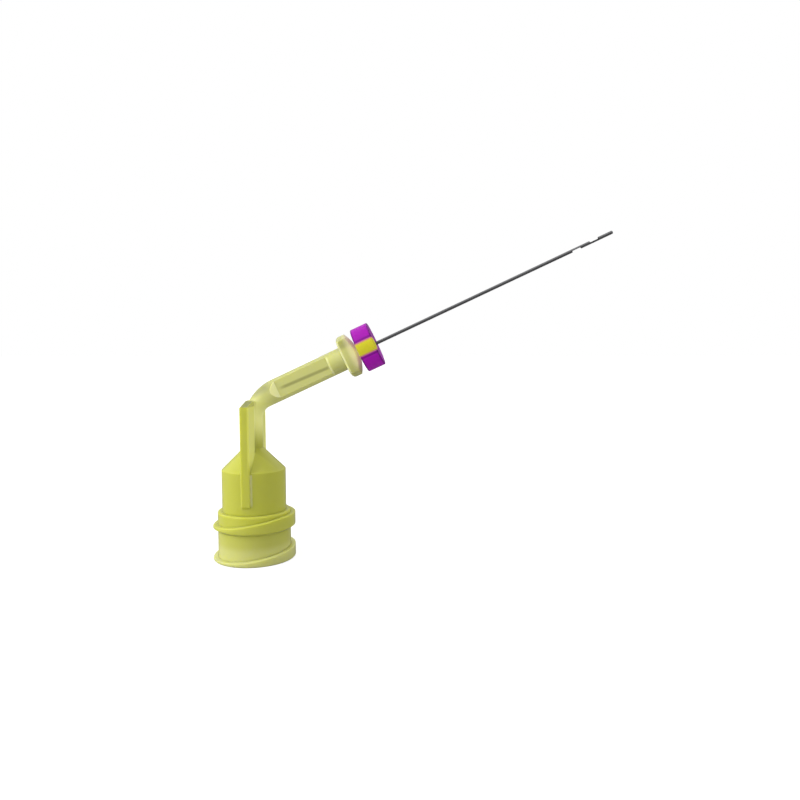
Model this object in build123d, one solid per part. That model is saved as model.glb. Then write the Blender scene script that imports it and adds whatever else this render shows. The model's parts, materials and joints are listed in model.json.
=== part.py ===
from build123d import *
import os
from math import cos, sin, tan, radians, sqrt

# A side-vented irrigation needle: a moulded hub with a bent arm, a steel cannula glued in its nose,
# and a silicone depth stop that slides on the cannula. Millimetres.
# The Luer axis is Z, the mouth's face lies at Z = 0, and the arm leans towards +X.

# Luer socket inside the hub
socket_mouth_dia = 4.29
socket_taper = 0.06
socket_depth = 7.8
socket_lead_in = 0.12
socket_end_wall = 0.80
funnel_angle = 45.0
lumen_dia = 0.70
lumen_bend_radius = 2.90

# Barrel, cone and stem
lower_barrel_dia = 6.94
lower_barrel_top = 4.62
upper_barrel_dia = 6.08
collar_round = 0.15
cone_angle = 45.0
cone_round = 0.12
stem_dia = 1.88

# Thread rings: each goes all the way round, and its leaning top makes it climb like a thread.
# The mouth ring's cap lies above its highest point, so only the upper ring is cut flat there.
ring_stand_out = 0.45
ring_root = 0.40
ring_edge_bevel = 0.06
mouth_ring_low = 0.0
mouth_ring_flank = (0.06, 0.06)
mouth_ring_middle = 0.72
mouth_ring_swing = 0.50
mouth_ring_cap = 1.30
mouth_ring_high_at = 30.0
upper_ring_low = 2.84
upper_ring_flank = (0.45, 0.30)
upper_ring_middle = 3.92
upper_ring_swing = 0.60
upper_ring_cap = 4.33
upper_ring_high_at = 10.0

# Side ribs
rib_thickness = 0.86
rib_stand_out = 0.21
rib_bottom = 5.30
rib_top_over_axes = 0.14
rib_top_drop = 0.45
rib_top_slope_length = 2.00
rib_foot_round = 0.38
rib_edge_bevel = 0.08

# Elbow and arm; lengths along the arm are measured from where its axis crosses the Luer axis
arm_rise = 25.0
axes_cross_height = 15.12
elbow_outer_radius = 4.80
elbow_inner_radius = 1.20
elbow_sections = 8
arm_dia = 2.27

# Flange and dome at the nose
flange_at = 9.80
flange_dia = 4.14
flange_thickness = 0.92
flange_flat_width = 2.60
flange_back_round = 0.36
flat_edge_round = 0.10
dome_height = 0.59

# Recessed panel on each side of the arm
panel_from = 2.85
panel_to_flange = 1.52
panel_floor = 0.78
panel_run_out = 1.80

# Cannula
cannula_dia = 0.31
cannula_bore = 0.16
cannula_inner_end = 2.70
cannula_free_length = 26.10
cannula_seat_gap = 0.010
tip_round = 0.11
tip_solid = 1.30
tip_to_vent = 1.42
vent_length = 0.88
vent_land = 0.90
vent_wall_left = 0.165

# Glue well and bead
well_dia = 0.90
well_depth = 0.80
glue_edge_gap = 0.03
glue_edge_sink = 0.04
glue_foot_gap = 0.10
glue_rise = 0.07

# Depth stop and its stripe
stop_dia = 4.30
stop_thickness = 1.75
stop_rest_gap = 0.10
stop_bore_gap = 0.02
stop_edge_bevel = 0.06
stripe_width = 1.22
stripe_depth = 1.50
stripe_inner_width = 0.70
stripe_inner_round = 0.20

upper = upper_barrel_dia / 2
ring_reach = lower_barrel_dia / 2 + ring_stand_out
cone_start = socket_depth + socket_end_wall
rib_reach = upper + rib_stand_out
rib_top = axes_cross_height + rib_top_over_axes
bend = 90 - arm_rise
nose_at = flange_at + flange_thickness + dome_height
tip_at = nose_at + cannula_free_length
seat_radius = cannula_dia / 2 + cannula_seat_gap
far = 40.0
near = 0.001

arm_plane = Plane(
    origin=(0, 0, axes_cross_height),
    x_dir=(-sin(radians(arm_rise)), 0, cos(radians(arm_rise))),
    z_dir=(cos(radians(arm_rise)), 0, sin(radians(arm_rise))),
)


def turned(corners, plane=Plane.XY):
    """A solid turned about the plane's own Z axis from (radius, height) or (radius, height, round)."""
    points = [(corner[0], 0, corner[1]) for corner in corners]
    rounds = [corner[2] if len(corner) > 2 else 0 for corner in corners]
    outline = FilletPolyline(*points, radius=rounds, close=True)
    return plane * revolve(make_face(outline), Axis.Z)


def half_space(plane, side):
    """A large block that lies on one side of a plane: 1 is the side its Z axis points to."""
    grow = Align.MIN if side > 0 else Align.MAX
    return plane * Box(far, far, far, align=(Align.CENTER, Align.CENTER, grow))


def barrel_and_stem():
    """Barrel, collar, cone and stem, turned in one profile and cut off where the elbow begins."""
    lower = lower_barrel_dia / 2
    stem = stem_dia / 2
    cone_top = cone_start + (upper - stem) / tan(radians(cone_angle))
    blank = turned(
        [
            (0, 0),
            (lower, 0),
            (lower, lower_barrel_top, collar_round),
            (upper, lower_barrel_top),
            (upper, cone_start, cone_round),
            (stem, cone_top, cone_round),
            (stem, axes_cross_height),
            (0, axes_cross_height),
        ]
    )
    return blank - half_space(elbow_plane(0), 1)


def elbow_point(radius, outward, turn):
    """A point on the elbow's outline after a turn; outward is 1 on its outer side, -1 on its inner."""
    lean = radians(arm_rise)
    centre_x = radius - outward * stem_dia / 2
    below = (radius - outward * arm_dia / 2 - centre_x * sin(lean)) / cos(lean)
    centre_z = axes_cross_height - below
    return Vector(centre_x - radius * cos(radians(turn)), 0, centre_z + radius * sin(radians(turn)))


def elbow_ends(turn):
    """The outer and inner ends of the elbow's section after a turn."""
    outer = elbow_point(elbow_outer_radius, 1, turn)
    inner = elbow_point(elbow_inner_radius, -1, turn)
    return outer, inner


def elbow_plane(turn):
    """The plane of the elbow's section after a turn, facing on towards the nose."""
    outer, inner = elbow_ends(turn)
    across = outer - inner
    return Plane(origin=(outer + inner) / 2, x_dir=across, z_dir=Vector(0, 1, 0).cross(across))


def elbow_section(turn):
    """The oval across the elbow after a turn, as wide as the stem at first and as the arm at last."""
    outer, inner = elbow_ends(turn)
    share = turn / bend
    width = stem_dia + (arm_dia - stem_dia) * share**2 * (3 - 2 * share)
    return elbow_plane(turn) * Ellipse((outer - inner).length / 2, width / 2)


def elbow():
    """The bend between stem and arm, tight inside and wide outside."""
    turns = [bend * step / (elbow_sections - 1) for step in range(elbow_sections)]
    return loft([elbow_section(turn) for turn in turns])


def thread_ring(low, flank, middle, swing, cap, high_at):
    """A ring with a sloped underside, its top cut by a leaning plane and capped where it is highest."""
    run, rise = flank
    root = lower_barrel_dia / 2 - ring_root
    blank = turned(
        [
            (root, low),
            (ring_reach - run, low),
            (ring_reach, low + rise),
            (ring_reach, cap),
            (root, cap),
        ]
    )
    slope = swing / ring_reach
    lean = radians(high_at)
    up = Vector(-slope * cos(lean), -slope * sin(lean), 1)
    ring = blank - half_space(Plane(origin=(0, 0, middle), z_dir=up), 1)
    return chamfer(outer_top_edges(ring, low + rise), ring_edge_bevel)


def outer_top_edges(ring, above):
    """The edges at a ring's full reach that lie above a height."""
    return [
        edge
        for edge in ring.edges()
        if edge.position_at(0.5).Z > above + near
        and all(abs(reach_of(edge.position_at(share)) - ring_reach) < near for share in (0.3, 0.5))
    ]


def reach_of(point):
    """How far a point lies from the Luer axis."""
    return Vector(point.X, point.Y, 0).length


def side_rib():
    """The upright rib on the side that faces -Y, with a rounded foot and a sloped top."""
    outline = FilletPolyline(
        (0, 0, rib_bottom),
        (0, -rib_reach, rib_bottom),
        (0, -rib_reach, rib_top - rib_top_drop),
        (0, -rib_reach + rib_top_slope_length, rib_top),
        (0, 0, rib_top),
        radius=[0, rib_foot_round, 0, 0, 0],
        close=True,
    )
    rib = extrude(make_face(outline), rib_thickness / 2, dir=(1, 0, 0), both=True)
    sides = [
        edge
        for edge in rib.edges()
        if abs(edge.center().X) > rib_thickness / 2 - near and edge.center().Y < -stem_dia / 2 - near
    ]
    return chamfer(sides, rib_edge_bevel)


def arm():
    """The straight arm, cut off where the elbow ends, and carried a little into the flange."""
    radius = arm_dia / 2
    into = flange_at + flange_thickness / 2
    blank = turned([(0, 0), (radius, 0), (radius, into), (0, into)], arm_plane)
    return blank - half_space(elbow_plane(bend), -1)


def flange():
    """The flange with its domed nose and two side flats."""
    rim = flange_dia / 2
    ball = (rim**2 + dome_height**2) / (2 * dome_height)
    disc = turned(
        [(0, flange_at), (rim, flange_at, flange_back_round), (rim, nose_at), (0, nose_at)],
        arm_plane,
    )
    disc &= arm_plane * Pos(0, 0, nose_at - ball) * Sphere(ball)
    slab = arm_plane * Box(far, flange_flat_width, far)
    flatted = disc & slab
    return fillet(flat_edges(flatted), flat_edge_round)


def flat_edges(solid):
    """The edges that bound the two side flats."""
    half = flange_flat_width / 2
    return [edge for edge in solid.edges() if abs(abs(edge.center().Y) - half) < near]


def panel(side):
    """The recess on one side of the arm: a flat floor, a square outer end and a sloped inner end."""
    reach = arm_dia
    panel_to = flange_at - panel_to_flange
    shape = Polyline(
        (panel_from, side * panel_floor),
        (panel_to, side * panel_floor),
        (panel_to, side * reach),
        (panel_from - panel_run_out * (reach - panel_floor), side * reach),
        close=True,
    )
    profile = Plane(origin=(0, 0, 0), x_dir=(0, 0, 1), z_dir=(-1, 0, 0)) * make_face(shape)
    return arm_plane * extrude(profile, arm_dia, both=True)


def hub_inside():
    """Luer socket, funnel, lumen through stem and elbow, cannula bore and glue well."""
    mouth = socket_mouth_dia / 2
    deep = mouth - socket_taper * socket_depth / 2
    lumen = lumen_dia / 2
    funnel_end = socket_depth + (deep - lumen) / tan(radians(funnel_angle))
    bend_tangent = lumen_bend_radius * tan(radians(bend) / 2)
    bend_start = axes_cross_height - bend_tangent
    outside = 1.0
    socket = turned(
        [
            (0, -outside),
            (mouth + socket_lead_in, -outside),
            (mouth + socket_lead_in, 0),
            (mouth - socket_taper * socket_lead_in / 2, socket_lead_in),
            (deep, socket_depth),
            (lumen, funnel_end),
            (lumen, bend_start),
            (0, bend_start),
        ]
    )
    bent = revolve(
        Plane.XY.offset(bend_start) * Circle(lumen),
        Axis((lumen_bend_radius, 0, bend_start), (0, 1, 0)),
        bend,
    )
    bore = turned(
        [
            (0, bend_tangent),
            (lumen, bend_tangent),
            (lumen, cannula_inner_end),
            (seat_radius, cannula_inner_end + lumen - seat_radius),
            (seat_radius, nose_at - well_depth),
            (well_dia / 2, nose_at),
            (well_dia / 2, nose_at + outside),
            (0, nose_at + outside),
        ],
        arm_plane,
    )
    return socket + bent + bore


def make_hub():
    solid = barrel_and_stem() + elbow() + arm() + flange()
    rib = side_rib()
    solid += rib + mirror(rib, Plane.XZ)
    solid += thread_ring(
        mouth_ring_low,
        mouth_ring_flank,
        mouth_ring_middle,
        mouth_ring_swing,
        mouth_ring_cap,
        mouth_ring_high_at,
    )
    solid += thread_ring(
        upper_ring_low,
        upper_ring_flank,
        upper_ring_middle,
        upper_ring_swing,
        upper_ring_cap,
        upper_ring_high_at,
    )
    for side in (-1, 1):
        solid -= panel(side)
    return solid - hub_inside()


def vent(far_end, side):
    """One side vent: the tube is cut away on one side, and a thin wall stays on the other."""
    depth = cannula_dia - vent_wall_left
    box = Box(cannula_dia, 2 * cannula_dia, vent_length, align=(Align.MIN, Align.CENTER, Align.MAX))
    opening = Pos(cannula_dia / 2 - depth, 0, far_end) * box
    if side < 0:
        opening = mirror(opening, Plane.YZ)
    return arm_plane * opening


def make_cannula():
    """The tube, closed at its rounded tip, with one vent on each side of it."""
    outer = cannula_dia / 2
    inner = cannula_bore / 2
    bore_end = tip_at - tip_solid
    rod = turned(
        [
            (0, cannula_inner_end),
            (outer, cannula_inner_end),
            (outer, tip_at, tip_round),
            (0, tip_at),
        ],
        arm_plane,
    )
    lumen = turned(
        [
            (0, cannula_inner_end - inner),
            (inner, cannula_inner_end - inner),
            (inner, bore_end - inner),
            (0, bore_end),
        ],
        arm_plane,
    )
    upper_vent_end = tip_at - tip_to_vent
    lower_vent_end = upper_vent_end - vent_length - vent_land
    return rod - lumen - vent(upper_vent_end, 1) - vent(lower_vent_end, -1)


def make_bond():
    """Adhesive in the glue well, drawn up round the cannula."""
    inner = cannula_dia / 2
    return turned(
        [
            (inner, nose_at - well_depth),
            (seat_radius, nose_at - well_depth),
            (well_dia / 2 - glue_edge_gap, nose_at - glue_edge_sink),
            (well_dia / 2 - glue_foot_gap, nose_at),
            (inner + glue_edge_gap, nose_at + glue_rise),
            (inner, nose_at + glue_rise),
        ],
        arm_plane,
    )


def stop_start():
    """Where the stop's near face lies along the arm."""
    return nose_at + stop_rest_gap


def stripe_strip():
    """The wedge of the second colour, before the stop's own outline trims it."""
    rim = stop_dia / 2
    bottom = rim - stripe_depth
    outline = FilletPolyline(
        (-stripe_inner_width / 2, bottom),
        (stripe_inner_width / 2, bottom),
        (stripe_width / 2, rim),
        (stripe_width / 2, stop_dia),
        (-stripe_width / 2, stop_dia),
        (-stripe_width / 2, rim),
        radius=[stripe_inner_round, stripe_inner_round, 0, 0, 0, 0],
        close=True,
    )
    return arm_plane * Pos(0, 0, stop_start()) * extrude(make_face(outline), stop_thickness)


def stop_blank():
    """The whole disc, with softened rims and the bore that grips the cannula."""
    low = stop_start()
    high = low + stop_thickness
    bore = cannula_dia / 2 + stop_bore_gap
    rim = stop_dia / 2
    return turned(
        [
            (bore, low),
            (rim - stop_edge_bevel, low),
            (rim, low + stop_edge_bevel),
            (rim, high - stop_edge_bevel),
            (rim - stop_edge_bevel, high),
            (bore, high),
        ],
        arm_plane,
    )


def make_depth_stop():
    return stop_blank() - stripe_strip()


def make_stop_stripe():
    return stop_blank() & stripe_strip()


os.makedirs("parts", exist_ok=True)
export_step(make_hub(), "parts/hub.step")
export_step(make_cannula(), "parts/cannula.step")
export_step(make_bond(), "parts/bond.step")
export_step(make_depth_stop(), "parts/depth_stop.step")
export_step(make_stop_stripe(), "parts/stop_stripe.step")
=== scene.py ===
import bpy
import json
from math import atan2, cos, radians, sin, tan
from mathutils import Euler, Matrix, Vector


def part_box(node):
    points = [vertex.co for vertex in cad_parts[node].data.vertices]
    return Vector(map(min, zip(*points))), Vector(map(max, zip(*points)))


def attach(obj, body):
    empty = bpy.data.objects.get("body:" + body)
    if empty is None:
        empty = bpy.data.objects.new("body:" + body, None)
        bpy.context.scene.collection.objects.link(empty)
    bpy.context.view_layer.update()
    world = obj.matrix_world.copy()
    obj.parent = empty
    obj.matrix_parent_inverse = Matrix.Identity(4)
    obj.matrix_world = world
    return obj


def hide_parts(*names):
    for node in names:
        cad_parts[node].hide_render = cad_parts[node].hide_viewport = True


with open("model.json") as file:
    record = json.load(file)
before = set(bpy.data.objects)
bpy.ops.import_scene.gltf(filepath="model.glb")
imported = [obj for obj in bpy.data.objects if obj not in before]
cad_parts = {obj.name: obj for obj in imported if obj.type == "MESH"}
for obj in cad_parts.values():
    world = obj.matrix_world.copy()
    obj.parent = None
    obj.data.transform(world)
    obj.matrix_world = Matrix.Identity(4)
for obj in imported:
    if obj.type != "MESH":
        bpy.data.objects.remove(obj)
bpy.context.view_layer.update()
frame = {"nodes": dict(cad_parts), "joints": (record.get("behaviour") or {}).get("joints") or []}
node = frame["nodes"]

# Lengths are written in millimetres, and MM turns them into Blender's metres
MM = 0.001

# Places along the arm, from where its axis crosses the Luer axis
CANNULA_INNER_END = 2.70
PANEL_FROM = 2.85
PANEL_TO = 8.28
FLANGE_AT = 9.80
NOSE_AT = 11.31
STOP_START = 11.41
TIP_AT = 37.41

# The panels' floors, from the arm's middle plane, and how far their inner ends run for each
# millimetre that they rise
PANEL_FLOOR = 0.78
PANEL_RUN_OUT = 1.80

# Cannula and its vents
CANNULA_DIA = 0.31
CANNULA_BORE = 0.16
TIP_ROUND = 0.11
TIP_SOLID = 1.30
TIP_TO_VENT = 1.42
VENT_LENGTH = 0.88
VENT_LAND = 0.90
VENT_WALL_LEFT = 0.165
VENT_CORNER = 0.05

# Depth stop and its stripe
STOP_DIA = 4.30
STOP_THICKNESS = 1.75
STOP_RIM_ROUND = 0.11
STOP_BORE_GAP = 0.005
DIMPLE_RADIUS = 0.62
DIMPLE_RUN = 0.34
DIMPLE_DEPTH = 0.07
STRIPE_BOTTOM = 0.65
STRIPE_BOTTOM_HALF = 0.35
STRIPE_RIM_HALF = 0.61
STRIPE_CORNER = 0.20
STRIPE_WIDENS = (STRIPE_RIM_HALF - STRIPE_BOTTOM_HALF) / (STOP_DIA / 2 - STRIPE_BOTTOM)

# Glue bead
GLUE_FOOT = 0.42
GLUE_END = 0.165
GLUE_SINK = 0.80
GLUE_LIP = 0.04
GLUE_RISE = 0.09
GLUE_EDGE = 0.02
GLUE_STEPS = 6

# Sides of round pieces, how far a cutter reaches past what it cuts, and how near is the same place
STOP_SIDES = 128
GLUE_SIDES = 48
TUBE_SIDES = 40
BORE_SIDES = 24
CUTTER_PAST = 1.0
WEDGE_PAST = 0.5
NEAR = 0.01

# A face looks along an axis if its normal has this much of it, and edges below this angle are smooth
LOOKS_ALONG = 0.9
SMOOTH_BELOW = radians(32.0)

# The arm's own frame: Z along the arm, X up across it, Y towards the hub's -Y side
ARM_AXIS = Vector(frame["joints"][0]["axis"]).normalized()
ARM_RISE = atan2(ARM_AXIS.z, ARM_AXIS.x)
ARM_UP = Vector((-sin(ARM_RISE), 0.0, cos(ARM_RISE)))
ARM_SIDE = Vector((0.0, -1.0, 0.0))

# Where the arm's axis crosses the Luer axis, in metres. The middle of the stop lies on the arm's axis.
disc_low, disc_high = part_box("depth_stop")
band_low, band_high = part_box("stop_stripe")
disc_middle = Vector([min(a, b) for a, b in zip(disc_low, band_low)])
disc_middle += Vector([max(a, b) for a, b in zip(disc_high, band_high)])
disc_middle /= 2
AXES_CROSS = Vector((0.0, 0.0, disc_middle.z - disc_middle.x * tan(ARM_RISE)))


def place_camera():
    """The camera that took the photograph, a hand's breadth in front of the hub."""
    lens = bpy.data.cameras.new("camera")
    lens.sensor_width = 36.0
    lens.lens = 29.26
    lens.clip_start = 1.0 * MM
    lens.clip_end = 10000.0 * MM
    camera = bpy.data.objects.new("camera", lens)
    camera.location = Vector((16.54, -61.88, 19.79)) * MM
    camera.rotation_euler = Euler((radians(85.84), radians(0.05), radians(2.17)))
    bpy.context.scene.collection.objects.link(camera)
    bpy.context.scene.camera = camera


def softbox(name, place, aim, size, power):
    """A square area lamp that faces a point."""
    lamp = bpy.data.lights.new(name, "AREA")
    lamp.shape = "SQUARE"
    lamp.size = size * MM
    lamp.energy = power
    box = bpy.data.objects.new(name, lamp)
    box.location = Vector(place) * MM
    box.rotation_euler = (Vector(aim) - Vector(place)).to_track_quat("-Z", "Y").to_euler()
    bpy.context.scene.collection.objects.link(box)


# Small helpers for building node trees

def feed(tree, socket, value):
    """Links a socket to another one, or sets it to a number or a colour."""
    if isinstance(value, bpy.types.NodeSocket):
        tree.links.new(value, socket)
    else:
        socket.default_value = value


def set_inputs(step, values):
    """Sets a node's inputs to plain values, by their names."""
    for label, value in values.items():
        step.inputs[label].default_value = value


def maths(tree, operation, *values):
    """A Math node; each value is a number or a socket."""
    step = tree.nodes.new("ShaderNodeMath")
    step.operation = operation
    for socket, value in zip(step.inputs, values):
        feed(tree, socket, value)
    return step.outputs[0]


def product(tree, first, *others):
    """All the values multiplied together."""
    for other in others:
        first = maths(tree, "MULTIPLY", first, other)
    return first


def opposite(tree, mask):
    """1 where a mask is 0, and 0 where it is 1."""
    return maths(tree, "SUBTRACT", 1.0, mask)


def fade(tree, value, nothing, full):
    """0 at nothing, 1 at full and smooth between them, whichever is the larger."""
    step = tree.nodes.new("ShaderNodeMapRange")
    step.interpolation_type = "SMOOTHSTEP"
    set_inputs(step, {"From Min": nothing, "From Max": full})
    tree.links.new(value, step.inputs["Value"])
    return step.outputs["Result"]


def band(tree, value, start, end):
    """1 between two ends, each a pair of where it is nothing and where it is full."""
    return product(tree, fade(tree, value, *start), fade(tree, value, *end))


def spread(tree, value, low, high):
    """Turns 0 to 1 into low to high."""
    step = tree.nodes.new("ShaderNodeMapRange")
    set_inputs(step, {"To Min": low, "To Max": high})
    tree.links.new(value, step.inputs["Value"])
    return step.outputs["Result"]


def mix_colour(tree, amount, first, second):
    """First where amount is 0, second where it is 1; each is a colour or a socket."""
    step = tree.nodes.new("ShaderNodeMix")
    step.data_type = "RGBA"
    for index, value in ((0, amount), (6, first), (7, second)):
        feed(tree, step.inputs[index], value)
    return step.outputs[2]


def mix_value(tree, amount, first, second):
    """First where amount is 0, second where it is 1; each is a number or a socket."""
    step = tree.nodes.new("ShaderNodeMix")
    for index, value in ((0, amount), (2, first), (3, second)):
        feed(tree, step.inputs[index], value)
    return step.outputs[0]


def noise(tree, place, scale, detail):
    """A noise texture's grey value."""
    step = tree.nodes.new("ShaderNodeTexNoise")
    set_inputs(step, {"Scale": scale, "Detail": detail})
    tree.links.new(place, step.inputs["Vector"])
    return step.outputs[0]


def new_group(name, inputs, outputs):
    """An empty node group with named sockets, and its two inner ends."""
    group = bpy.data.node_groups.new(name, "ShaderNodeTree")
    for label, kind in inputs:
        group.interface.new_socket(label, in_out="INPUT", socket_type=kind)
    for label, kind in outputs:
        group.interface.new_socket(label, in_out="OUTPUT", socket_type=kind)
    return group, group.nodes.new("NodeGroupInput"), group.nodes.new("NodeGroupOutput")


def along(tree, place, origin, direction):
    """How many millimetres a place lies from an origin in one direction."""
    offset = tree.nodes.new("ShaderNodeVectorMath")
    offset.operation = "SUBTRACT"
    offset.inputs[1].default_value = origin
    tree.links.new(place, offset.inputs[0])
    dot = tree.nodes.new("ShaderNodeVectorMath")
    dot.operation = "DOT_PRODUCT"
    dot.inputs[1].default_value = direction
    tree.links.new(offset.outputs[0], dot.inputs[0])
    return maths(tree, "MULTIPLY", dot.outputs["Value"], 1.0 / MM)


def needle_places_group():
    """Where a place lies, in millimetres: in the arm's frame, and out and up from the mouth's middle."""
    mouth = Vector((0.0, 0.0, 0.0))
    directions = {
        "Along": (AXES_CROSS, ARM_AXIS),
        "Across": (AXES_CROSS, ARM_UP),
        "Side": (AXES_CROSS, ARM_SIDE),
        "Out": (mouth, Vector((1.0, 0.0, 0.0))),
        "Up": (mouth, Vector((0.0, 0.0, 1.0))),
    }
    outputs = [(label, "NodeSocketFloat") for label in directions]
    group, start, end = new_group("places_on_the_needle", [("Place", "NodeSocketVector")], outputs)
    for label, (origin, direction) in directions.items():
        group.links.new(along(group, start.outputs["Place"], origin, direction), end.inputs[label])
    return group


def moulded_skin_group():
    """The faint waves and the fine grain that a mould leaves on a surface."""
    inputs = [("Place", "NodeSocketVector"), ("Grain", "NodeSocketFloat")]
    outputs = [("Height", "NodeSocketFloat"), ("Patches", "NodeSocketFloat")]
    group, start, end = new_group("moulded_skin", inputs, outputs)
    waves = noise(group, start.outputs["Place"], scale=0.45 / MM, detail=2.0)
    grain = noise(group, start.outputs["Place"], scale=9.0 / MM, detail=4.0)
    height = maths(group, "MULTIPLY_ADD", grain, start.outputs["Grain"], waves)
    group.links.new(height, end.inputs["Height"])
    group.links.new(waves, end.inputs["Patches"])
    return group


NEEDLE_PLACES = needle_places_group()
MOULDED_SKIN = moulded_skin_group()


def material(name):
    """A new material: itself, its node tree, its main shader and the Object coordinates."""
    made = bpy.data.materials.new(name)
    made.use_nodes = True
    tree = made.node_tree
    place = tree.nodes.new("ShaderNodeTexCoord").outputs["Object"]
    return made, tree, tree.nodes["Principled BSDF"], place


def use_group(tree, group, place):
    """Puts a node group into a material and gives it the place."""
    step = tree.nodes.new("ShaderNodeGroup")
    step.node_tree = group
    tree.links.new(place, step.inputs["Place"])
    return step


def bump(tree, bsdf, height, depth):
    """Turns a height into bump of a given depth on a shader, and gives back its node."""
    step = tree.nodes.new("ShaderNodeBump")
    set_inputs(step, {"Strength": 1.0, "Distance": depth})
    tree.links.new(height, step.inputs["Height"])
    tree.links.new(step.outputs["Normal"], bsdf.inputs["Normal"])
    return step


def skin_bump(tree, bsdf, place, grain, depth, edge_radius=None):
    """Moulded skin as bump, over edges that are rounded a little where a radius is given."""
    skin = use_group(tree, MOULDED_SKIN, place)
    skin.inputs["Grain"].default_value = grain
    raised = bump(tree, bsdf, skin.outputs["Height"], depth)
    if edge_radius:
        bevel = tree.nodes.new("ShaderNodeBevel")
        bevel.samples = 6
        bevel.inputs["Radius"].default_value = edge_radius
        tree.links.new(bevel.outputs["Normal"], raised.inputs["Normal"])
    return skin.outputs["Patches"]


def nearness(tree, distance, inside):
    """1 close to a convex edge if inside, or deep in a crease if not, and 0 on open surface."""
    probe = tree.nodes.new("ShaderNodeAmbientOcclusion")
    probe.inside = inside
    probe.only_local = True
    probe.samples = 8
    probe.inputs["Distance"].default_value = distance
    return opposite(tree, probe.outputs["AO"])


def add_layers(tree, colour, layers):
    """Lays colours over one another, each by its own mask and strength."""
    for mask, strength, layer in layers:
        colour = mix_colour(tree, maths(tree, "MULTIPLY", mask, strength), colour, layer)
    return colour


def light_under_the_skin(bsdf, weight, radius, scale):
    """Lets light spread inside a soft material, each colour by its own share of the scale."""
    values = {"Subsurface Weight": weight, "Subsurface Radius": radius, "Subsurface Scale": scale}
    set_inputs(bsdf, values)


# Colours

PLASTIC_THICK = (0.645, 0.660, 0.100, 1.0)
PLASTIC_FOOT = (0.690, 0.695, 0.190, 1.0)
PLASTIC_MOUTH = (0.780, 0.785, 0.300, 1.0)
PLASTIC_THIN = (0.690, 0.695, 0.270, 1.0)
# Painted shade on the elbow's outer side and along the arm's top
PLASTIC_OUTER_BEND_SHADE = (0.360, 0.370, 0.140, 1.0)
# Painted shade low on the flange and its neck
PLASTIC_UNDER_SHADE = (0.400, 0.395, 0.130, 1.0)
# Painted shade where the surface is seen almost along itself
PLASTIC_OUTLINE_SHADE = (0.380, 0.380, 0.160, 1.0)
# Painted highlight on convex edges and on bright lines
PLASTIC_EDGE_HIGHLIGHT = (0.880, 0.880, 0.480, 1.0)
# Painted shade in creases and on the cone
PLASTIC_CREASE_SHADE = (0.360, 0.360, 0.060, 1.0)
# Painted shade on the ribs' sloped tops
PLASTIC_RIB_TOP_SHADE = (0.220, 0.235, 0.012, 1.0)
CANNULA_SHADE = (0.300, 0.295, 0.095, 1.0)
NO_GLOW = (0.0, 0.0, 0.0, 1.0)
# A painted glow for light soaking through thin plastic
GLOW = (0.310, 0.310, 0.110, 1.0)
# A painted pinkish glow on the nose, for light from the stop
NOSE_GLOW = (0.280, 0.232, 0.190, 1.0)
STEEL_DARK = (0.105, 0.105, 0.108, 1.0)
STEEL_LIGHT = (0.180, 0.180, 0.184, 1.0)
STEEL_EDGE_TINT = (0.35, 0.35, 0.35, 1.0)
PURPLE = (0.430, 0.008, 0.480, 1.0)
# Painted light on the stop's lower part
PURPLE_LOW_PAINTED_LIGHT = (0.560, 0.010, 0.630, 1.0)
# Painted shade on the rims of the stop's faces
PURPLE_EDGE_SHADE = (0.150, 0.006, 0.190, 1.0)
YELLOW = (0.820, 0.760, 0.036, 1.0)
# Painted shade on the rims of the stripe's faces
YELLOW_EDGE_SHADE = (0.740, 0.720, 0.050, 1.0)
RUN_TOGETHER = (0.850, 0.360, 0.220, 1.0)
GLUE_DEEP = (0.72, 0.72, 0.46, 1.0)
GLUE_CLEAR = (0.80, 0.80, 0.60, 1.0)
FLOOR_GREY = (0.45, 0.45, 0.45, 1.0)
WHITE = (1.0, 1.0, 1.0, 1.0)

# Where each patch of colour is nothing and where it is full, with a pair for each end where it has two.
# OUT, UP, ALONG, ACROSS and SIDE are the directions of the group places_on_the_needle.
FOOT_UP = (4.8, 0.2)
MOUTH_UP = (1.9, 1.1)
CONE_UP = (8.40, 8.80)
THIN_UP = (10.6, 13.6)
RIB_SIDE = (1.15, 1.35)
RIB_OUT = (3.0, 1.0)
RIB_TOP_UP = (14.70, 14.86)
RIB_FACE_OUT = ((0.20, 0.42), (0.52, 0.46))
RIB_FACE_UP = (8.6, 10.0)
BESIDE_RIB_OUT = ((0.40, 0.46), (0.66, 0.54))
BESIDE_RIB_UP = ((5.3, 5.8), (8.6, 8.4))
BARREL_SIDE = (2.6, 2.8)
BEND_ACROSS = (-0.10, 0.55)
BEND_ALONG = (3.4, 1.6)
ARM_TOP_ACROSS = (0.60, 1.05)
STEM_LIGHT_ALONG = (3.5, -1.0)
STEM_LIGHT_ACROSS = (1.0, -0.6)
PANEL_END_ALONG = ((PANEL_TO - 0.02, PANEL_TO + 0.03), (PANEL_TO + 0.22, PANEL_TO + 0.12))
PANEL_END_SIDE = (0.40, 0.60)
PANEL_END_ACROSS = (0.85, 0.60)
RUN_OUT_REACH = ((0.00, 0.04), (0.80, 0.75))
RUN_OUT_SKIN = (0.035, 0.010)
TUBE_SEEN_WIDTH = (0.24, 0.03)
TUBE_SEEN_ALONG = ((PANEL_FROM - 0.05, PANEL_FROM + 0.90), (PANEL_TO + 0.02, PANEL_TO - 0.25))
TUBE_SEEN_SIDE = (PANEL_FLOOR + 0.06, PANEL_FLOOR + 0.02)
FLANGE_BACK_ALONG = ((FLANGE_AT - 0.02, FLANGE_AT + 0.02), (FLANGE_AT + 0.24, FLANGE_AT + 0.14))
FLANGE_FLAT_SIDE = (1.12, 1.22)
UNDERSIDE_ACROSS = (0.10, -1.80)
UNDERSIDE_ALONG = (PANEL_TO + 0.05, PANEL_TO + 0.25)
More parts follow.
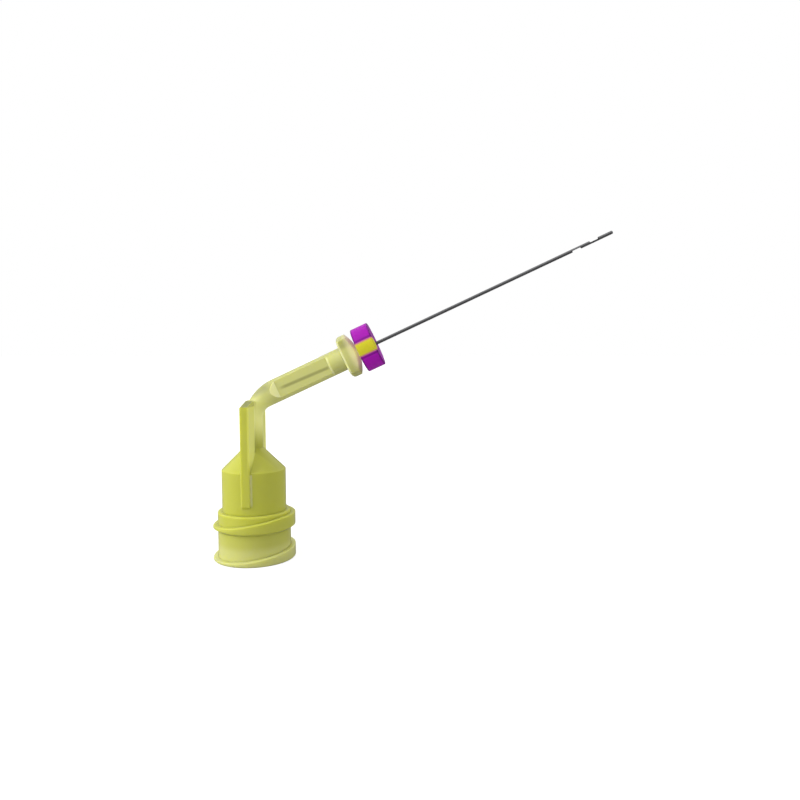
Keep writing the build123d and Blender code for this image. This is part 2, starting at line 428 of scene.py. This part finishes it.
DOME_ALONG = (FLANGE_AT + 0.50, FLANGE_AT + 1.10)
DOME_ACROSS = (-1.9, -0.9)
STOP_LOW_ACROSS = (-0.3, -1.0)
STRIPE_WALL_SIDE = (STRIPE_BOTTOM - 0.05, STRIPE_BOTTOM + 0.10)
STOP_FACE_FROM_MIDDLE = (STOP_THICKNESS / 2 - 0.20, STOP_THICKNESS / 2 - 0.04)
STOP_RIM_FROM_TUBE = (STOP_DIA / 2 - 0.45, STOP_DIA / 2 - 0.05)

# The same for edges, creases and surfaces seen almost along themselves, from 0 to 1
EDGE_NEAR = (0.25, 0.60)
CREASE_DEEP = (0.15, 0.75)
GRAZING = (0.70, 0.98)

# How far the shade of the tube in the arm sinks for each millimetre along it
TUBE_SEEN_SAG = 0.035


# The hub's plastic

def aside(tree, at):
    """How far a place lies from the arm's middle plane, on either side."""
    return maths(tree, "ABSOLUTE", at.outputs["Side"])


def rib_mask(tree, at):
    """1 on the part of the two side ribs that stands out beside the stem."""
    beside = fade(tree, aside(tree, at), *RIB_SIDE)
    return maths(tree, "MULTIPLY", beside, fade(tree, at.outputs["Out"], *RIB_OUT))


def thin_plastic_mask(tree, at, rib):
    """1 on stem, elbow, arm and flange, where the wall is thin, and 0 on barrel and ribs."""
    above_cone = fade(tree, at.outputs["Up"], *THIN_UP)
    return maths(tree, "MULTIPLY", above_cone, opposite(tree, rib))


def outer_bend_shade_mask(tree, at, thin):
    """1 on the outer side of the elbow, where the wall is thicker again, and less along the arm's top;
    both get painted shade.
    """
    outer = fade(tree, at.outputs["Across"], *BEND_ACROSS)
    bend_shade = product(tree, outer, fade(tree, at.outputs["Along"], *BEND_ALONG))
    top = product(tree, fade(tree, at.outputs["Across"], *ARM_TOP_ACROSS), 0.55)
    return maths(tree, "MULTIPLY", thin, maths(tree, "MAXIMUM", bend_shade, top))


def soaked_light(tree, at, thin, rib, bend_shade):
    """How much painted glow stands for light from the bright side soaking through: most in the stem, some
    in arm and ribs.
    """
    stem = product(tree, thin, fade(tree, at.outputs["Along"], *STEM_LIGHT_ALONG))
    stem = product(tree, stem, fade(tree, at.outputs["Across"], *STEM_LIGHT_ACROSS))
    rib_face = product(tree, rib, band(tree, at.outputs["Out"], *RIB_FACE_OUT))
    rib_face = product(tree, rib_face, fade(tree, at.outputs["Up"], *RIB_FACE_UP), 0.65)
    anywhere = product(tree, thin, opposite(tree, bend_shade), 0.20)
    run_out = product(tree, panel_run_out_mask(tree, at), 0.45)
    thin_parts = maths(tree, "MAXIMUM", maths(tree, "MAXIMUM", stem, anywhere), run_out)
    return maths(tree, "MAXIMUM", thin_parts, rib_face)


def nose_dome_glow_mask(tree, at):
    """1 on the domed nose in front of the flange's flats, which gets a painted pinkish glow for the light
    it takes in all round and from the stop.
    """
    forward = fade(tree, at.outputs["Along"], *DOME_ALONG)
    return product(tree, forward, fade(tree, at.outputs["Across"], *DOME_ACROSS))


def cone_shade_mask(tree, at, thin, rib):
    """1 on the cone between barrel and stem, which is painted a little darker as shade."""
    above = fade(tree, at.outputs["Up"], *CONE_UP)
    return product(tree, above, opposite(tree, rib), opposite(tree, thin))


def panel_end_highlight(tree, at):
    """1 on the painted highlight where each panel's floor steps up to the arm's full width."""
    on_step = band(tree, at.outputs["Along"], *PANEL_END_ALONG)
    outwards = fade(tree, aside(tree, at), *PANEL_END_SIDE)
    return product(tree, on_step, outwards, fade(tree, at.outputs["Across"], *PANEL_END_ACROSS))


def flange_back_highlight(tree, at):
    """1 on the painted highlight along the back edge of each of the flange's flats."""
    on_edge = band(tree, at.outputs["Along"], *FLANGE_BACK_ALONG)
    return product(tree, on_edge, fade(tree, aside(tree, at), *FLANGE_FLAT_SIDE))


def nose_underside_shade(tree, at):
    """1 low on the flange and on the neck before it, where shade is painted, and 0 high on them and on
    the rest of the arm.
    """
    low = fade(tree, at.outputs["Across"], *UNDERSIDE_ACROSS)
    return product(tree, low, fade(tree, at.outputs["Along"], *UNDERSIDE_ALONG))


def rib_foot_highlight(tree, at):
    """1 on the painted highlight that the barrel shows close beside each rib."""
    beside = band(tree, at.outputs["Out"], *BESIDE_RIB_OUT)
    height = band(tree, at.outputs["Up"], *BESIDE_RIB_UP)
    return product(tree, beside, height, fade(tree, aside(tree, at), *BARREL_SIDE))


def grazing(tree):
    """1 where the surface is seen almost along itself."""
    return fade(tree, tree.nodes.new("ShaderNodeLayerWeight").outputs["Facing"], *GRAZING)


def cannula_seen_through(tree, at):
    """The shade of the steel tube inside the arm, seen bent through the thin floor of each panel."""
    sag = maths(tree, "MULTIPLY_ADD", at.outputs["Along"], TUBE_SEEN_SAG, -TUBE_SEEN_SAG * PANEL_FROM)
    off_axis = maths(tree, "ABSOLUTE", maths(tree, "ADD", at.outputs["Across"], sag))
    line = fade(tree, off_axis, *TUBE_SEEN_WIDTH)
    in_panel = band(tree, at.outputs["Along"], *TUBE_SEEN_ALONG)
    return product(tree, line, in_panel, fade(tree, aside(tree, at), *TUBE_SEEN_SIDE))


def panel_run_out_mask(tree, at):
    """1 on the sloped inner end of each panel, the thinnest-looking part of the arm, which gets a painted
    highlight and a painted glow.
    """
    before = maths(tree, "SUBTRACT", PANEL_FROM, at.outputs["Along"])
    slope = maths(tree, "MULTIPLY_ADD", before, 1.0 / PANEL_RUN_OUT, PANEL_FLOOR)
    off_slope = maths(tree, "ABSOLUTE", maths(tree, "SUBTRACT", aside(tree, at), slope))
    on_slope = fade(tree, off_slope, *RUN_OUT_SKIN)
    return maths(tree, "MULTIPLY", on_slope, band(tree, before, *RUN_OUT_REACH))


def hub_plastic():
    """Translucent yellow polypropylene: deep colour in the thick barrel, paler where it is thin, with
    painted highlights, painted shade and a painted glow.
    """
    made, tree, bsdf, place = material("yellow_polypropylene")
    at = use_group(tree, NEEDLE_PLACES, place)
    patches = skin_bump(tree, bsdf, place, grain=0.10, depth=0.006 * MM, edge_radius=0.06 * MM)
    rib = rib_mask(tree, at)
    rib_top_shade = product(tree, rib, fade(tree, at.outputs["Up"], *RIB_TOP_UP))
    thin = thin_plastic_mask(tree, at, rib)
    bend_shade = outer_bend_shade_mask(tree, at, thin)
    edges = fade(tree, nearness(tree, 0.12 * MM, inside=True), *EDGE_NEAR)
    creases = fade(tree, nearness(tree, 0.30 * MM, inside=False), *CREASE_DEEP)
    layers = [
        (fade(tree, at.outputs["Up"], *FOOT_UP), 1.0, PLASTIC_FOOT),
        (fade(tree, at.outputs["Up"], *MOUTH_UP), 0.8, PLASTIC_MOUTH),
        # Painted shade: the cone a little darker
        (cone_shade_mask(tree, at, thin, rib), 0.20, PLASTIC_CREASE_SHADE),
        (thin, 1.0, PLASTIC_THIN),
        # Painted shade on the elbow's outer side and along the arm's top
        (bend_shade, 0.78, PLASTIC_OUTER_BEND_SHADE),
        # Painted shade low on the flange and its neck
        (nose_underside_shade(tree, at), 0.75, PLASTIC_UNDER_SHADE),
        # Painted shade on the ribs' sloped tops
        (rib_top_shade, 0.9, PLASTIC_RIB_TOP_SHADE),
        (cannula_seen_through(tree, at), 0.75, CANNULA_SHADE),
        # Painted highlights on the panels' sloped inner ends, their end steps and the flats' back edges
        (panel_run_out_mask(tree, at), 0.9, PLASTIC_EDGE_HIGHLIGHT),
        (panel_end_highlight(tree, at), 0.8, PLASTIC_EDGE_HIGHLIGHT),
        (flange_back_highlight(tree, at), 0.9, PLASTIC_EDGE_HIGHLIGHT),
        # Painted highlights on convex edges
        (edges, 0.30, PLASTIC_EDGE_HIGHLIGHT),
        # Painted shade in creases
        (creases, 0.55, PLASTIC_CREASE_SHADE),
        # Painted highlight on the barrel beside each rib
        (rib_foot_highlight(tree, at), 0.75, PLASTIC_EDGE_HIGHLIGHT),
        # Painted shade where the surface is seen almost along itself
        (grazing(tree), 0.60, PLASTIC_OUTLINE_SHADE),
    ]
    tree.links.new(add_layers(tree, PLASTIC_THICK, layers), bsdf.inputs["Base Color"])
    # A painted glow for light soaking through thin plastic, and a pinkish one on the nose
    soaked_glow = soaked_light(tree, at, thin, rib, bend_shade)
    glow = [(soaked_glow, 1.0, GLOW), (nose_dome_glow_mask(tree, at), 0.9, NOSE_GLOW)]
    tree.links.new(add_layers(tree, NO_GLOW, glow), bsdf.inputs["Emission Color"])
    tree.links.new(spread(tree, patches, 0.26, 0.40), bsdf.inputs["Roughness"])
    set_inputs(bsdf, {"Emission Strength": 1.0, "Specular IOR Level": 0.22})
    light_under_the_skin(bsdf, weight=0.85, radius=(1.0, 0.95, 0.35), scale=0.70 * MM)
    return made


# Steel, silicone and glue

def drawn_steel():
    """Stainless tube with the fine lengthwise lines of drawing."""
    made, tree, bsdf, place = material("drawn_steel")
    at = use_group(tree, NEEDLE_PLACES, place)
    lines = tree.nodes.new("ShaderNodeCombineXYZ")
    for socket, label, scale in zip(lines.inputs, ("Along", "Across", "Side"), (0.6, 22.0, 22.0)):
        tree.links.new(maths(tree, "MULTIPLY", at.outputs[label], scale), socket)
    streaks = noise(tree, lines.outputs[0], scale=1.0, detail=3.0)
    colour = mix_colour(tree, streaks, STEEL_DARK, STEEL_LIGHT)
    tree.links.new(colour, bsdf.inputs["Base Color"])
    tree.links.new(spread(tree, streaks, 0.18, 0.34), bsdf.inputs["Roughness"])
    set_inputs(bsdf, {"Metallic": 1.0, "Specular Tint": STEEL_EDGE_TINT})
    bump(tree, bsdf, streaks, depth=0.0015 * MM)
    return made


def beyond_stripe_wall(tree, at):
    """How far outside the wall between stripe and disc a place lies, negative inside the stripe."""
    above = maths(tree, "SUBTRACT", at.outputs["Side"], STRIPE_BOTTOM)
    wall = maths(tree, "MULTIPLY_ADD", above, STRIPE_WIDENS, STRIPE_BOTTOM_HALF)
    return maths(tree, "SUBTRACT", maths(tree, "ABSOLUTE", at.outputs["Across"]), wall)


def stripe_line(tree, at, offset, width):
    """1 on a line beside each of the stripe's walls, a little way outside them."""
    off_line = maths(tree, "ABSOLUTE", maths(tree, "SUBTRACT", beyond_stripe_wall(tree, at), offset))
    line = fade(tree, off_line, width, 0.2 * width)
    return product(tree, line, fade(tree, at.outputs["Side"], *STRIPE_WALL_SIDE))


def stop_end_face_shade(tree, at):
    """1 on the rims of the stop's two flat faces, and less on the faces, where they are painted darker as
    shade.
    """
    middle = STOP_START + STOP_THICKNESS / 2
    from_middle = maths(tree, "ABSOLUTE", maths(tree, "SUBTRACT", at.outputs["Along"], middle))
    on_end = fade(tree, from_middle, *STOP_FACE_FROM_MIDDLE)
    squares = [product(tree, at.outputs[label], at.outputs[label]) for label in ("Across", "Side")]
    from_tube = maths(tree, "SQRT", maths(tree, "ADD", *squares))
    near_rim = fade(tree, from_tube, *STOP_RIM_FROM_TUBE)
    return product(tree, on_end, spread(tree, near_rim, 0.40, 1.00))


def silicone(name, colour, low_painted_light, line_colour, edge_shade):
    """Soft matt silicone with painted light low down and painted shade at its rims, whose colour runs a
    little into the one beside it.
    """
    made, tree, bsdf, place = material(name)
    at = use_group(tree, NEEDLE_PLACES, place)
    patches = skin_bump(tree, bsdf, place, grain=0.35, depth=0.008 * MM)
    layers = [
        # Painted light low on the stop
        (fade(tree, at.outputs["Across"], *STOP_LOW_ACROSS), 1.0, low_painted_light),
        # Painted shade on the rims of its flat faces and on a line just outside each stripe wall
        (stop_end_face_shade(tree, at), 0.80, edge_shade),
        (stripe_line(tree, at, offset=0.24, width=0.14), 0.60, edge_shade),
        (stripe_line(tree, at, offset=0.00, width=0.13), 0.75, line_colour),
    ]
    tree.links.new(add_layers(tree, colour, layers), bsdf.inputs["Base Color"])
    tree.links.new(spread(tree, patches, 0.42, 0.60), bsdf.inputs["Roughness"])
    bsdf.inputs["Specular IOR Level"].default_value = 0.15
    light_under_the_skin(bsdf, weight=0.25, radius=(1.0, 0.6, 0.9), scale=0.20 * MM)
    return made


def clear_glue():
    """Cured adhesive, nearly clear over the plastic."""
    made, tree, bsdf, place = material("clear_glue")
    patches = skin_bump(tree, bsdf, place, grain=0.05, depth=0.004 * MM)
    colour = mix_colour(tree, patches, GLUE_DEEP, GLUE_CLEAR)
    tree.links.new(colour, bsdf.inputs["Base Color"])
    bsdf.inputs["Roughness"].default_value = 0.08
    light_under_the_skin(bsdf, weight=0.6, radius=(1.0, 1.0, 0.8), scale=0.4 * MM)
    return made


# Studio

def white_for_seen_rays(tree):
    """1 where a ray is seen directly or through clear material, else 0."""
    path = tree.nodes.new("ShaderNodeLightPath")
    return maths(tree, "MAXIMUM", path.outputs["Is Camera Ray"], path.outputs["Is Transmission Ray"])


def light_the_studio():
    """Even white surroundings, a large soft key from the left and two weak soft lamps."""
    world = bpy.data.worlds.new("studio")
    bpy.context.scene.world = world
    world.use_nodes = True
    tree = world.node_tree
    ground = tree.nodes["Background"]
    ground.inputs["Color"].default_value = WHITE
    path = tree.nodes.new("ShaderNodeLightPath")
    split = tree.nodes.new("ShaderNodeSeparateXYZ")
    tree.links.new(tree.nodes.new("ShaderNodeTexCoord").outputs["Generated"], split.inputs[0])
    mirrored = spread(tree, fade(tree, split.outputs["Z"], 0.05, 0.65), 0.30, 1.30)
    lit = mix_value(tree, path.outputs["Is Glossy Ray"], 0.57, mirrored)
    tree.links.new(mix_value(tree, white_for_seen_rays(tree), lit, 1.0), ground.inputs["Strength"])
    middle = (8.0, 0.0, 14.0)
    softbox("key_left", (-210.0, -125.0, 130.0), middle, size=200.0, power=0.47)
    softbox("top", (20.0, 20.0, 240.0), middle, size=220.0, power=0.08)
    softbox("fill_right", (240.0, 60.0, 80.0), middle, size=200.0, power=0.06)


def lay_floor():
    """A pale floor that keeps the shadow near the hub and fades into the white around it."""
    bpy.ops.object.select_all(action="DESELECT")
    bpy.ops.mesh.primitive_plane_add(size=6000.0 * MM, location=(0.0, 0.0, 0.0))
    floor = bpy.context.object
    floor.name = "floor"
    paint, tree, bsdf, place = material("floor_white")
    set_inputs(bsdf, {"Base Color": FLOOR_GREY, "Roughness": 0.9, "Specular IOR Level": 0.0})
    bsdf.inputs["Emission Color"].default_value = WHITE
    length = tree.nodes.new("ShaderNodeVectorMath")
    length.operation = "LENGTH"
    tree.links.new(place, length.inputs[0])
    away = fade(tree, length.outputs["Value"], 15.0 * MM, 90.0 * MM)
    seen = white_for_seen_rays(tree)
    strength = maths(tree, "MULTIPLY", seen, spread(tree, away, 0.76, 1.0))
    tree.links.new(strength, bsdf.inputs["Emission Strength"])
    floor.data.materials.append(paint)


# Modelling helpers. A piece is made in millimetres in the arm's own frame, and then put on the arm.

def only(piece):
    """Selects one piece and nothing else."""
    bpy.ops.object.select_all(action="DESELECT")
    piece.select_set(True)
    bpy.context.view_layer.objects.active = piece


def new_piece(name):
    """Names the primitive that was just added and applies its place."""
    piece = bpy.context.object
    piece.name = name
    bpy.ops.object.transform_apply(location=True, rotation=True, scale=True)
    return piece


def rod(name, radius, low, high, sides):
    """A cylinder round the arm's axis."""
    bpy.ops.object.select_all(action="DESELECT")
    middle = (0.0, 0.0, (low + high) / 2)
    bpy.ops.mesh.primitive_cylinder_add(vertices=sides, radius=radius, depth=high - low, location=middle)
    return new_piece(name)


def block(name, low, high):
    """A box from one corner to the opposite one."""
    bpy.ops.object.select_all(action="DESELECT")
    middle = (Vector(low) + Vector(high)) / 2
    bpy.ops.mesh.primitive_cube_add(size=1.0, location=middle, scale=Vector(high) - Vector(low))
    return new_piece(name)


def start_edit(piece, mode):
    """Opens a piece for editing with nothing selected, and closes it again for picking."""
    only(piece)
    bpy.ops.object.mode_set(mode="EDIT")
    bpy.ops.mesh.select_mode(type=mode)
    bpy.ops.mesh.select_all(action="DESELECT")
    bpy.ops.object.mode_set(mode="OBJECT")


def pick_edges(piece, wanted):
    """Goes into edit mode with the edges selected whose two ends pass a test."""
    start_edit(piece, "EDGE")
    points = piece.data.vertices
    for edge in piece.data.edges:
        edge.select = wanted(*(points[end].co for end in edge.vertices))
    bpy.ops.object.mode_set(mode="EDIT")


def pick_faces(piece, wanted):
    """Goes into edit mode with the faces selected that pass a test."""
    start_edit(piece, "FACE")
    for face in piece.data.polygons:
        face.select = wanted(face)
    bpy.ops.object.mode_set(mode="EDIT")


def end_edit():
    """Leaves edit mode."""
    bpy.ops.object.mode_set(mode="OBJECT")


def narrow(across, aside_too):
    """Scales what is selected towards the arm's axis."""
    bpy.ops.transform.resize(value=(across, aside_too, 1.0), center_override=(0.0, 0.0, 0.0))


def round_edges(piece, wanted, width, steps):
    """Rounds the edges that pass a test."""
    pick_edges(piece, wanted)
    bpy.ops.mesh.bevel(offset=width, segments=steps, affect="EDGES")
    end_edit()


def cut(piece, cutter, operation="DIFFERENCE"):
    """Cuts a piece with another, which is then gone."""
    only(piece)
    change = piece.modifiers.new("cut", "BOOLEAN")
    change.operation = operation
    change.solver = "EXACT"
    change.object = cutter
    bpy.ops.object.modifier_apply(modifier=change.name)
    bpy.data.objects.remove(cutter)


def put_on_arm(piece, finish, body, replaced):
    """Turns and scales a piece from the arm's frame to its real place, and finishes it."""
    only(piece)
    turn = Matrix((ARM_UP, ARM_SIDE, ARM_AXIS)).transposed().to_4x4()
    piece.matrix_world = Matrix.Translation(AXES_CROSS) @ turn @ Matrix.Scale(MM, 4)
    bpy.ops.object.transform_apply(location=True, rotation=True, scale=True)
    bpy.ops.object.shade_smooth_by_angle(angle=SMOOTH_BELOW)
    piece.data.materials.clear()
    piece.data.materials.append(finish)
    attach(piece, body)
    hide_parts(replaced)


# Pieces

def vent_cutter(far_end, side):
    """What a grinding wheel takes away at one vent; side is 1 on the upper side, -1 below."""
    floor = VENT_WALL_LEFT - CANNULA_DIA / 2
    low = (floor, -CANNULA_DIA, far_end - VENT_LENGTH)
    high = (CANNULA_DIA, CANNULA_DIA, far_end)
    cutter = block("vent_cutter", low, high)

    def across_the_floor(first, second):
        """Whether an edge is one of the two that cross the tube at the vent's floor."""
        return max(first.x, second.x) < floor + NEAR and abs(first.y - second.y) > NEAR

    round_edges(cutter, across_the_floor, VENT_CORNER, steps=4)
    if side < 0:
        cutter.rotation_euler = (0.0, 0.0, radians(180.0))
        only(cutter)
        bpy.ops.object.transform_apply(location=False, rotation=True, scale=False)
    return cutter


def make_cannula_tube():
    """The steel tube: rounded closed tip, bore, and two vents on opposite sides."""
    tube = rod("cannula_tube", CANNULA_DIA / 2, CANNULA_INNER_END, TIP_AT, TUBE_SIDES)
    round_edges(tube, lambda a, b: min(a.z, b.z) > TIP_AT - NEAR, TIP_ROUND, steps=6)
    bore_from = CANNULA_INNER_END - CUTTER_PAST
    cut(tube, rod("bore_cutter", CANNULA_BORE / 2, bore_from, TIP_AT - TIP_SOLID, BORE_SIDES))
    upper_vent_end = TIP_AT - TIP_TO_VENT
    cut(tube, vent_cutter(upper_vent_end, 1))
    cut(tube, vent_cutter(upper_vent_end - VENT_LENGTH - VENT_LAND, -1))
    put_on_arm(tube, drawn_steel(), "needle", "cannula")


def make_glue_bead():
    """The bead in the well, drawn up to the tube in a hollow curve."""
    reach = CANNULA_DIA / 2
    bead = rod("glue_bead", GLUE_FOOT, NOSE_AT - GLUE_SINK, NOSE_AT - GLUE_LIP, GLUE_SIDES)
    pick_faces(bead, lambda face: face.normal.z < -LOOKS_ALONG)
    narrow(GLUE_END / GLUE_FOOT, GLUE_END / GLUE_FOOT)
    end_edit()
    pick_faces(bead, lambda face: face.normal.z > LOOKS_ALONG)
    height = GLUE_LIP + GLUE_RISE
    done = 0.0
    radius = GLUE_FOOT
    for step in range(1, GLUE_STEPS + 1):
        share = step / GLUE_STEPS
        rise = height * share**2 - done
        wanted = reach + (GLUE_FOOT - reach) * (1.0 - share) + GLUE_EDGE
        bpy.ops.mesh.extrude_region_move(TRANSFORM_OT_translate={"value": (0.0, 0.0, rise)})
        narrow(wanted / radius, wanted / radius)
        done += rise
        radius = wanted
    end_edit()
    cut(bead, rod("tube_cutter", reach, NOSE_AT - CUTTER_PAST, NOSE_AT + CUTTER_PAST, TUBE_SIDES))
    put_on_arm(bead, clear_glue(), "needle", "bond")


def on_a_rim_circle(first, second):
    """Whether an edge of the stop lies on one of its two rim circles."""
    nearest = min(first.xy.length, second.xy.length)
    return nearest > STOP_DIA / 2 - NEAR and abs(first.z - second.z) < NEAR


def stop_blank(name):
    """The whole disc: rounded rims, and faces that are drawn in where the tube goes through."""
    end = STOP_START + STOP_THICKNESS
    blank = rod(name, STOP_DIA / 2, STOP_START, end, STOP_SIDES)
    pick_faces(blank, lambda face: abs(face.normal.z) > LOOKS_ALONG)
    bpy.ops.mesh.inset(thickness=STOP_DIA / 2 - DIMPLE_RADIUS, use_individual=True)
    bpy.ops.mesh.inset(thickness=DIMPLE_RUN, depth=-DIMPLE_DEPTH, use_individual=True)
    end_edit()
    round_edges(blank, on_a_rim_circle, STOP_RIM_ROUND, steps=6)
    hole = CANNULA_DIA / 2 + STOP_BORE_GAP
    cut(blank, rod("tube_cutter", hole, STOP_START - CUTTER_PAST, end + CUTTER_PAST, TUBE_SIDES))
    return blank


def along_the_wedge_bottom(first, second):
    """Whether an edge of the wedge is one of the two long ones at its narrow side."""
    return max(first.y, second.y) < STRIPE_BOTTOM + NEAR and abs(first.z - second.z) > STOP_THICKNESS


def stripe_wedge():
    """The stripe's wedge-shaped section, longer than the disc and past its rim."""
    top = STOP_DIA / 2 + WEDGE_PAST
    half = STRIPE_BOTTOM_HALF + STRIPE_WIDENS * (top - STRIPE_BOTTOM)
    low = (-half, STRIPE_BOTTOM, STOP_START - WEDGE_PAST)
    high = (half, top, STOP_START + STOP_THICKNESS + WEDGE_PAST)
    wedge = block("stripe_wedge", low, high)
    pick_faces(wedge, lambda face: face.normal.y < -LOOKS_ALONG)
    narrow(STRIPE_BOTTOM_HALF / half, 1.0)
    end_edit()
    round_edges(wedge, along_the_wedge_bottom, STRIPE_CORNER, steps=5)
    return wedge


def make_depth_stop():
    """The purple disc with the wedge of yellow in its side."""
    disc = stop_blank("stop_disc")
    cut(disc, stripe_wedge())
    purple = silicone("purple_silicone", PURPLE, PURPLE_LOW_PAINTED_LIGHT, RUN_TOGETHER, PURPLE_EDGE_SHADE)
    put_on_arm(disc, purple, "stop", "depth_stop")
    stripe = stop_blank("stop_band")
    cut(stripe, stripe_wedge(), "INTERSECT")
    yellow = silicone("yellow_silicone", YELLOW, YELLOW, RUN_TOGETHER, YELLOW_EDGE_SHADE)
    put_on_arm(stripe, yellow, "stop", "stop_stripe")


def dress_hub():
    """Gives the hub's CAD mesh its own plastic."""
    slots = node["hub"].data.materials
    slots.clear()
    slots.append(hub_plastic())


place_camera()
light_the_studio()
lay_floor()
bpy.context.scene.view_settings.view_transform = "Standard"
dress_hub()
make_cannula_tube()
make_glue_bead()
make_depth_stop()
